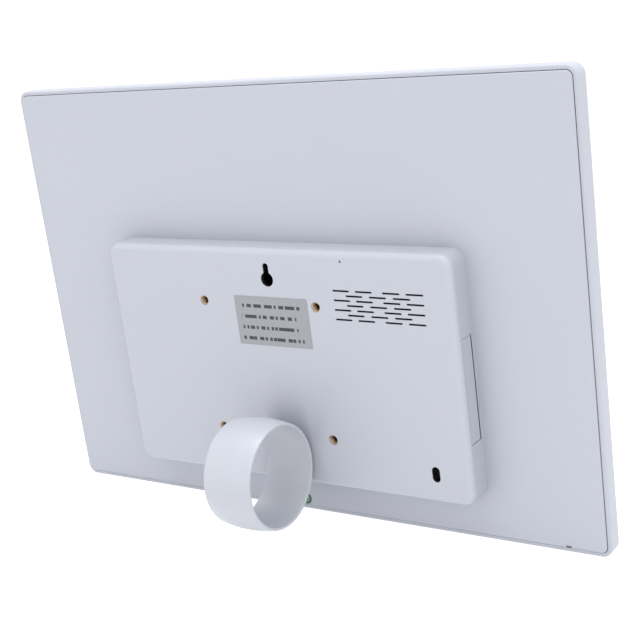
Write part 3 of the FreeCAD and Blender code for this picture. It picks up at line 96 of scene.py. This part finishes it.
class Shade:
    """One value in a material's node tree. Operators add Math nodes, and make() adds any other node."""

    def __init__(self, tree, socket=None):
        self.tree = tree
        self.socket = socket

    def make(self, kind, settings=None, values=None, output=0):
        """Node of that type: its settings first, then the values or links of its input sockets."""
        node = self.tree.nodes.new(kind)
        for name, setting in (settings or {}).items():
            if name == "stops":
                ramp = node.color_ramp.elements
                while len(ramp) < len(setting):
                    ramp.new(0.5)
                for stop, (place, colour) in zip(ramp, setting):
                    stop.position = place
                    stop.color = (*colour, 1.0)
            else:
                setattr(node, name, setting)
        for name, value in (values or {}).items():
            socket = node.inputs[name]
            if isinstance(value, Shade):
                self.tree.links.new(value.socket, socket)
            elif isinstance(value, (tuple, list)) and socket.type == "RGBA" and len(value) == 3:
                socket.default_value = (*value, 1.0)
            else:
                socket.default_value = value
        return Shade(self.tree, node.outputs[output] if node.outputs else None)

    def sum(self, operation, *terms):
        return self.make("ShaderNodeMath", {"operation": operation}, dict(enumerate(terms)))

    def __add__(self, other):
        return self.sum("ADD", self, other)

    __radd__ = __add__

    def __sub__(self, other):
        return self.sum("SUBTRACT", self, other)

    def __rsub__(self, other):
        return self.sum("SUBTRACT", other, self)

    def __mul__(self, other):
        return self.sum("MULTIPLY", self, other)

    __rmul__ = __mul__

    def __truediv__(self, other):
        return self.sum("DIVIDE", self, other)

    def __lt__(self, other):
        return self.sum("LESS_THAN", self, other)

    def __gt__(self, other):
        return self.sum("GREATER_THAN", self, other)

    def __abs__(self):
        return self.sum("ABSOLUTE", self)

    def mix(self, low, high):
        """Colour low where this value is 0 and high where it is 1."""
        return self.make("ShaderNodeMix", {"data_type": "RGBA"}, {0: self, 6: low, 7: high}, 2)

    def place(self, centre=(0, 0, 0), tilt=0.0, stretch=(1, 1, 1)):
        """Object coordinates from that centre, turned about x and stretched."""
        here = self.make("ShaderNodeTexCoord", output=3)
        away = self.make("ShaderNodeVectorMath", {"operation": "SUBTRACT"},
                         {0: here, 1: tuple(centre)})
        return self.make("ShaderNodeMapping", None,
                         {0: away, 2: (tilt, 0.0, 0.0), 3: tuple(stretch)})

    def noise(self, where, per_metre, detail=2.0, roughness=0.5):
        return self.make("ShaderNodeTexNoise", None,
                         {"Vector": where, "Scale": per_metre, "Detail": detail,
                          "Roughness": roughness})

    def bump(self, height, depth, strength=1.0):
        return self.make("ShaderNodeBump", None,
                         {"Strength": strength, "Distance": depth, "Height": height})

    def axes(self, where):
        """The three coordinates of a place, one by one."""
        return [self.make("ShaderNodeSeparateXYZ", None, {0: where}, axis) for axis in range(3)]


def material(name, recipe, *values):
    """Material whose Principled shader takes the sockets that the recipe returns."""
    made = bpy.data.materials.new(name)
    made.use_nodes = True
    tree = made.node_tree
    tree.nodes.clear()
    shade = Shade(tree)
    surface = shade.make("ShaderNodeBsdfPrincipled", None, recipe(shade, *values))
    shade.make("ShaderNodeOutputMaterial", None, {"Surface": surface})
    return made


def depth_shade(shade, start, full):
    """Mask for painted shade: 0 at the housing's face and above it, rising to 1 between two depths below
    it.
    """
    behind = shade.axes(shade.place(housing_face, LEAN))[1]
    return shade.make("ShaderNodeMath", {"operation": "MULTIPLY", "use_clamp": True},
                      {0: 0 - behind - start, 1: 1 / (full - start)})


def shell(shade, colour, roughness, grain_mm, grain_depth):
    """Moulded plastic of the outer shell. The walls of the openings in the housing's back are painted
    into shade with their depth below its face, and so is the housing's side of the gap round the side
    door."""
    values = moulded(shade, colour, roughness, grain_mm, grain_depth)
    across, behind, rise = shade.axes(shade.place(housing_face, LEAN))
    inside = (abs(across) < OPENINGS_SIDE) * (abs(rise + OPENINGS_MIDDLE) < OPENINGS_HALF_HEIGHT)
    # painted shade: the opening walls and the housing's side of the door gap darken to near black
    dark = depth_shade(shade, 0.05 * MM, 0.5 * MM) * inside + door_gap_shade(shade, across, behind, rise)
    values["Base Color"] = dark.mix(values["Base Color"], (0.009, 0.009, 0.011))
    return values


def door_gap_shade(shade, across, behind, rise):
    """Mask for painted shade in the gap round the side door: 1 on the housing's side of the gap along
    the door's front edge and foot, 0 on the door.
    """
    inward = shade.make("ShaderNodeMath", {"operation": "MULTIPLY", "use_clamp": True},
                        {0: across - (door_low[0] + GAP_SHADE_EDGE), 1: 1 / (0.2 * MM)})
    in_reach = behind > door_low[1] - DOOR_FRONT_GAP
    front = (behind < door_low[1] - GAP_SHADE_EDGE) * in_reach
    foot = (rise < door_low[2] - GAP_SHADE_EDGE) * (behind < door_high[1] - DOOR_BACK_INSET)
    tall = (rise > door_low[2] - DOOR_FOOT_GAP) * (rise < door_high[2])
    near = in_reach * (across < door_low[0] + DOOR_WALL)
    return inward * tall * near * shade.sum("MAXIMUM", front, foot)


def moulded(shade, colour, roughness, grain_mm, grain_depth):
    """Moulded plastic: a slow drift in colour, faint flow clouds and a fine spark-eroded grain."""
    here = shade.place()
    clouds = shade.noise(here, 14.0, 3.0)
    flow = shade.noise(shade.place(stretch=(1.0, 1.0, 5.0)), 60.0, 2.0)
    dark = tuple(channel * 0.955 for channel in colour)
    grain = shade.noise(here, 1000.0 / grain_mm, 3.0, 0.6)
    specks = shade.make("ShaderNodeTexVoronoi", None, {"Vector": here, "Scale": 800.0 / grain_mm})
    return {
        "Base Color": (clouds * 0.7 + flow * 0.3).mix(dark, colour),
        "Roughness": roughness - 0.05 + grain * 0.1,
        "IOR": 1.46,
        "Normal": shade.bump(grain + specks * 0.4, grain_depth * MM, 0.35),
    }


def polished(shade, colour, roughness):
    """Smooth moulded plastic: faint drift in colour, fine handling marks in its gloss."""
    here = shade.place()
    clouds = shade.noise(here, 30.0, 3.0)
    marks = shade.noise(shade.place(stretch=(1.0, 9.0, 9.0)), 250.0, 4.0, 0.7)
    dark = tuple(channel * 0.965 for channel in colour)
    return {
        "Base Color": clouds.mix(dark, colour),
        "Roughness": roughness + marks * 0.12,
        "IOR": 1.48,
        "Coat Weight": marks * 0.25,
        "Coat Roughness": 0.18,
        "Normal": shade.bump(marks, 0.008 * MM, 0.3),
    }


def metal(shade, colour, roughness, stretch, per_metre):
    """Drawn or plated metal: long scratches along one direction and small stains."""
    lines = shade.noise(shade.place(stretch=stretch), per_metre, 4.0, 0.6)
    stains = shade.noise(shade.place(), 400.0, 3.0)
    dark = tuple(channel * 0.72 for channel in colour)
    return {
        "Base Color": (lines * 0.6 + stains * 0.4).mix(dark, colour),
        "Metallic": 1.0,
        "Roughness": roughness + lines * 0.18,
        "Normal": shade.bump(lines, 0.01 * MM, 0.4),
    }


def tarnish_and_bore_shade(shade, colour, tarnish, roughness):
    """Brass with brown tarnish in patches, and a bore painted into shade, darker with depth below the
    housing's face.
    """
    patches = shade.noise(shade.place(), 900.0, 4.0, 0.65)
    scratches = shade.noise(shade.place(stretch=(1.0, 6.0, 1.0)), 2500.0, 2.0)
    return {
        # painted shade: the bore darkens to near black with its depth below the housing's face
        "Base Color": depth_shade(shade, 0.9 * MM, 4.5 * MM).mix(patches.mix(tarnish, colour),
                                                                 (0.012, 0.008, 0.006)),
        "Metallic": 1.0,
        "Roughness": roughness + scratches * 0.25,
        "Normal": shade.bump(scratches, 0.01 * MM, 0.5),
    }


def soft(shade, colour, light, per_metre, depth, roughness):
    """Foam, rubber, paper or film: a cellular surface with light and dark specks."""
    here = shade.place()
    cells = shade.make("ShaderNodeTexVoronoi", None, {"Vector": here, "Scale": per_metre})
    dust = shade.noise(here, per_metre / 3.0, 3.0)
    return {
        "Base Color": (dust * 0.6 + cells * 0.4).mix(colour, light),
        "Roughness": roughness + dust * 0.12,
        "Normal": shade.bump(cells, depth * MM, 0.6),
    }


def circuit_board(shade):
    """Green solder mask over copper runs: stepped lines both ways, with tinned pads."""
    here = shade.place(tilt=LEAN)
    runs = shade.make("ShaderNodeTexBrick", {"offset": 0.37, "squash": 0.6, "squash_frequency": 3},
                      {"Vector": here.make("ShaderNodeVectorRotate", {"rotation_type": "X_AXIS"},
                                           {"Vector": here, "Angle": math.pi / 2}),
                       "Color1": (0, 0, 0), "Color2": (0, 0, 0), "Mortar": (1, 1, 1),
                       "Scale": 260.0, "Mortar Size": 0.05, "Brick Width": 2.4, "Row Height": 0.5})
    pads = shade.make("ShaderNodeTexVoronoi", None, {"Vector": here, "Scale": 330.0,
                                                     "Randomness": 0.35}) < 0.16
    weave = shade.noise(here, 1500.0, 2.0)
    mask = runs.mix((0.008, 0.09, 0.035), (0.02, 0.19, 0.07))
    return {
        "Base Color": pads.mix(mask, (0.72, 0.72, 0.7)),
        "Roughness": 0.3 + weave * 0.15,
        "Metallic": pads * 0.8,
        "Normal": shade.bump(pads + runs * 0.5, 0.03 * MM, 0.6),
    }


def flat_cable(shade, colour, core, pitch_mm):
    """Flat cable: parallel cores show through the jacket as stripes."""
    across = shade.axes(shade.place())[0]
    ridge = shade.sum("PINGPONG", across, pitch_mm * MM / 2) / (pitch_mm * MM / 2)
    haze = shade.noise(shade.place(), 600.0, 2.0)
    return {
        "Base Color": (ridge * 0.8 + haze * 0.2).mix(core, colour),
        "Roughness": 0.4 + haze * 0.1,
        "Normal": shade.bump(ridge, 0.08 * MM, 0.7),
    }


def screen(shade, centre, half_width, half_height):
    """Switched-off display: black mask round a blue-black active area with a fine dot grid."""
    across, behind, rise = shade.axes(shade.place(centre, LEAN))
    inside = (abs(across) < half_width) * (abs(rise) < half_height)
    dots = shade.noise(shade.place(), 9000.0, 1.0)
    area = dots.mix((0.011, 0.013, 0.018), (0.017, 0.020, 0.027))
    return {
        "Base Color": inside.mix((0.006, 0.006, 0.007), area),
        "Roughness": 0.3 + dots * 0.1,
        "IOR": 1.38,
        "Coat Weight": 0.1 + dots * 0.05,
        "Coat Roughness": 0.15,
        "Normal": shade.bump(dots, 0.004 * MM, 0.3),
    }


def printed_label(shade, centre):
    """Brushed silver foil with four rows of plain grey bars in place of print."""
    x, y, z = shade.axes(shade.place(centre, LEAN))
    brushed = shade.noise(shade.place(stretch=(0.06, 1.0, 1.0)), 5000.0, 3.0)
    ink = None
    for row, (start, length) in enumerate(((19.5, 38.5), (20.5, 36.5), (20.5, 37.0), (21.0, 40.5))):
        up = (8.4 - 6.15 * row) * MM
        gaps = shade.make("ShaderNodeTexNoise", {"noise_dimensions": "1D"},
                          {"W": x + 0.31 * (row + 1), "Scale": 420.0, "Detail": 0.0})
        left, right = -start * MM, (length - start) * MM
        bar = ((abs(z - up) < 0.95 * MM) * ((0 - x) > left) * ((0 - x) < right) * (gaps > 0.43))
        ink = bar if ink is None else ink + bar
    return {
        "Base Color": (ink * 0.95).mix(brushed.mix((0.215, 0.222, 0.243), (0.27, 0.278, 0.3)),
                                      (0.01, 0.01, 0.012)),
        "Roughness": 0.42 + brushed * 0.15,
        "Metallic": 0.25 - ink * 0.2,
        "Normal": shade.bump(brushed, 0.006 * MM, 0.3),
    }


def check_print(shade, centre):
    """Green paper sticker with a paler ring round its middle."""
    x, y, z = shade.axes(shade.place(centre, LEAN))
    fibres = shade.noise(shade.place(), 2200.0, 3.0)
    away = shade.sum("SQRT", x * x + z * z * 2.6)
    ring = abs(away - 4.2 * MM) < 0.35 * MM
    return {
        "Base Color": ring.mix(fibres.mix((0.02, 0.075, 0.045), (0.035, 0.11, 0.065)), (0.26, 0.33, 0.28)),
        "Roughness": 0.5 + fibres * 0.2,
        "Normal": shade.bump(fibres, 0.01 * MM, 0.5),
    }


def clear_acrylic(shade):
    """Clear acrylic with rows of etched dots."""
    dots = shade.make("ShaderNodeTexVoronoi", None,
                      {"Vector": shade.place(), "Scale": 700.0, "Randomness": 0.0}) < 0.22
    return {
        "Base Color": dots.mix((0.86, 0.9, 0.92), (0.95, 0.96, 0.97)),
        "Roughness": 0.06 + dots * 0.4,
        "Transmission Weight": 0.5,
        "IOR": 1.49,
    }


def middle(node):
    low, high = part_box(node)
    return (low + high) / 2


WHITE = (0.372, 0.387, 0.437)
display_low, display_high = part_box("lcd_cell")
finishes = {
    "white_plastic": material("satin_white_plastic", shell, WHITE, 0.46, 0.45, 0.035),
    "ring_plastic": material("polished_white_plastic", polished, (0.38, 0.395, 0.44), 0.3),
    "key_plastic": material("key_plastic", moulded, (0.385, 0.4, 0.447), 0.4, 0.3, 0.02),
    "grey_plastic": material("grey_plastic", moulded, (0.3, 0.31, 0.33), 0.5, 0.4, 0.04),
    "black_plastic": material("black_plastic", moulded, (0.02, 0.02, 0.023), 0.45, 0.4, 0.04),
    "chassis_plastic": material("chassis_plastic", moulded, (0.7, 0.7, 0.64), 0.42, 0.5, 0.03),
    "brass": material("tarnished_brass", tarnish_and_bore_shade, (0.62, 0.47, 0.32), (0.22, 0.14, 0.095), 0.28),
    "steel": material("zinc_steel", metal, (0.62, 0.63, 0.65), 0.3, (1.0, 1.0, 0.04), 1500.0),
    "screw_steel": material("nickel_steel", metal, (0.6, 0.59, 0.57), 0.22, (1.0, 0.2, 1.0), 3000.0),
    "aluminium": material("aluminium", metal, (0.8, 0.8, 0.82), 0.3, (0.05, 1.0, 1.0), 1800.0),
    "screen_glass": material("display_glass", screen, tuple((display_low + display_high) / 2),
                             (display_high.x - display_low.x) / 2 - DISPLAY_MASK, ACTIVE_HALF_HEIGHT),
    "acrylic": material("clear_acrylic", clear_acrylic),
    "film": material("white_film", soft, (0.7, 0.7, 0.71), (0.86, 0.86, 0.87), 2500.0, 0.004, 0.5),
    "board_green": material("circuit_board", circuit_board),
    "chip_black": material("moulded_epoxy", moulded, (0.022, 0.022, 0.025), 0.55, 0.25, 0.02),
    "foam": material("foam", soft, (0.008, 0.008, 0.008), (0.045, 0.045, 0.045), 1400.0, 0.15, 0.85),
    "rubber": material("rubber", soft, (0.012, 0.012, 0.012), (0.03, 0.03, 0.03), 3000.0, 0.02, 0.65),
    "cone": material("pressed_cone", soft, (0.01, 0.01, 0.011), (0.035, 0.035, 0.037), 1800.0, 0.05, 0.7),
    "cable": material("flat_cable", flat_cable, (0.62, 0.63, 0.65), (0.36, 0.37, 0.4), 1.27),
    "label": material("silver_label", printed_label, tuple(middle("rating_label"))),
    "sticker": material("green_sticker", check_print, tuple(middle("check_sticker"))),
}
for part in record["subparts"]:
    target = nodes[part["node"]]
    target.data.materials.clear()
    target.data.materials.append(finishes[part["material_slot"]])


# Fine pieces, each a surface worked out on a grid

def closed_surface(name, points, slot_name, body):
    """Smooth mesh of a grid of points shaped (rows, columns, 3), closed along both directions."""
    rows, columns = points.shape[:2]
    index = np.arange(rows * columns).reshape(rows, columns)
    index = np.concatenate([index, index[:1]], axis=0)
    index = np.concatenate([index, index[:, :1]], axis=1)
    faces = np.stack([index[:-1, :-1], index[:-1, 1:], index[1:, 1:], index[1:, :-1]], axis=-1)
    mesh = bpy.data.meshes.new(name)
    mesh.from_pydata(points.reshape(-1, 3).tolist(), [], faces.reshape(-1, 4).tolist())
    mesh.polygons.foreach_set("use_smooth", [True] * len(mesh.polygons))
    mesh.materials.append(finishes[slot_name])
    mesh.update()
    made = bpy.data.objects.new(name, mesh)
    bpy.context.scene.collection.objects.link(made)
    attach(made, body)
    return made


def on_case(centre, side, back, up):
    """Points of the leaning case: centre plus side, back and up distances along its own axes."""
    parts = [np.asarray(amount)[..., None] * np.array(axis)
             for amount, axis in ((side, CASE_SIDE), (back, CASE_BACK), (up, CASE_UP))]
    return np.array(centre) + parts[0] + parts[1] + parts[2]


def threaded_insert(centre, outer, bore, length):
    """Brass sleeve, one closed profile turned about its axis: the profile runs up the bore, over
    the mouth and down the outside. The bore's radius rises and falls once per turn and pitch, as
    a thread's crest does, and the outside has straight knurls."""
    pitch = 0.7 * MM
    around = np.linspace(0, 2 * math.pi, 72, endpoint=False)
    inner_rows = np.linspace(-length, -0.35 * MM, 90)
    outer_rows = np.linspace(-0.12 * MM, -length, 14)
    wave = inner_rows[:, None] / pitch - around[None, :] / (2 * math.pi)
    crest = np.abs(2 * (wave - np.floor(wave)) - 1)
    fade = np.clip((-inner_rows - 0.35 * MM) / (0.5 * MM), 0, 1)[:, None]
    inner = bore + 0.32 * MM * (crest - 0.5) * fade
    mouth_radii = np.array([bore + 0.25 * MM, bore + 0.34 * MM, outer - 0.2 * MM, outer - 0.06 * MM])
    mouth = np.repeat(mouth_radii[:, None], around.size, axis=1)
    knurl = 0.05 * MM * np.abs(np.sin(18 * around))[None, :]
    outside = np.repeat((outer - knurl), outer_rows.size, axis=0)
    radius = np.concatenate([inner, mouth, outside])
    along = np.concatenate([inner_rows, [-0.06 * MM, 0.0, 0.0, -0.03 * MM], outer_rows])
    depth = np.repeat(along[:, None], around.size, axis=1)
    return on_case(centre, radius * np.cos(around), depth, radius * np.sin(around))


insert_mount = next(mount for mount in record["mounts"] if mount["name"] == "insert_square")
square_middle = np.array(insert_mount["pos_m"])
half_square = insert_mount["dims"]["pcd_mm"] * MM / math.sqrt(8)
INSERT_OUTER = 2.8 * MM
INSERT_BORE = 2.0 * MM
INSERT_LENGTH = 8.0 * MM
for number, (across, rise) in enumerate(((-1, -1), (-1, 1), (1, -1), (1, 1)), 1):
    centre = on_case(square_middle, across * half_square, 0.0, rise * half_square)
    grid = threaded_insert(centre, INSERT_OUTER, INSERT_BORE, INSERT_LENGTH)
    closed_surface(f"threaded_insert_{number}", grid, "brass", "case")
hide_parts("threaded_inserts")


# Floor, light and camera

camera_data = bpy.data.cameras.new("camera")
camera_data.lens = 76.515
camera_data.sensor_width = 36.0
camera_data.clip_start = 0.01
camera = bpy.data.objects.new("camera", camera_data)
camera.location = (-0.434276, 0.591042, 0.176829)
camera.rotation_euler = [math.radians(turn) for turn in (84.9112, -0.5511, -145.3597)]
bpy.context.scene.collection.objects.link(camera)
bpy.context.scene.camera = camera

floor_mesh = bpy.data.meshes.new("floor")
floor_mesh.from_pydata([(-9, -9, 0), (9, -9, 0), (9, 9, 0), (-9, 9, 0)], [], [(0, 1, 2, 3)])
floor = bpy.data.objects.new("floor", floor_mesh)
bpy.context.scene.collection.objects.link(floor)


def pale_floor(shade):
    """Matt white floor with a hardly visible drift in its tone."""
    clouds = shade.noise(shade.place(), 1.5, 2.0)
    return {
        "Base Color": clouds.mix((0.42, 0.42, 0.42), (0.45, 0.45, 0.45)),
        "Roughness": 0.9,
        "Emission Color": (1.0, 1.0, 1.0),
        "Emission Strength": 0.88,
    }


floor_mesh.materials.append(material("pale_floor", pale_floor))

world = bpy.data.worlds.new("studio")
bpy.context.scene.world = world
world.use_nodes = True
background = world.node_tree.nodes["Background"]
background.inputs["Color"].default_value = (1.0, 1.0, 1.0, 1.0)
background.inputs["Strength"].default_value = 1.13


def lamp(name, place, aim, width, height, power):
    """White soft box at a place, facing a point."""
    data = bpy.data.lights.new(name, "AREA")
    data.shape = "RECTANGLE"
    data.size = width
    data.size_y = height
    data.energy = power
    made = bpy.data.objects.new(name, data)
    made.location = place
    made.rotation_euler = (Vector(aim) - Vector(place)).to_track_quat("-Z", "Y").to_euler()
    bpy.context.scene.collection.objects.link(made)


lamp("left_box", (1.3, 1.3, 0.3), (0.0, 0.0, 0.08), 0.9, 0.6, 1.0)
lamp("right_box", (-1.5, 1.0, 0.7), (0.0, 0.0, 0.12), 1.2, 1.2, 5.0)
lamp("top_box", (-0.2, 0.35, 1.7), (0.0, 0.0, 0.15), 1.6, 1.0, 28.0)

bpy.context.scene.view_settings.view_transform = "Standard"
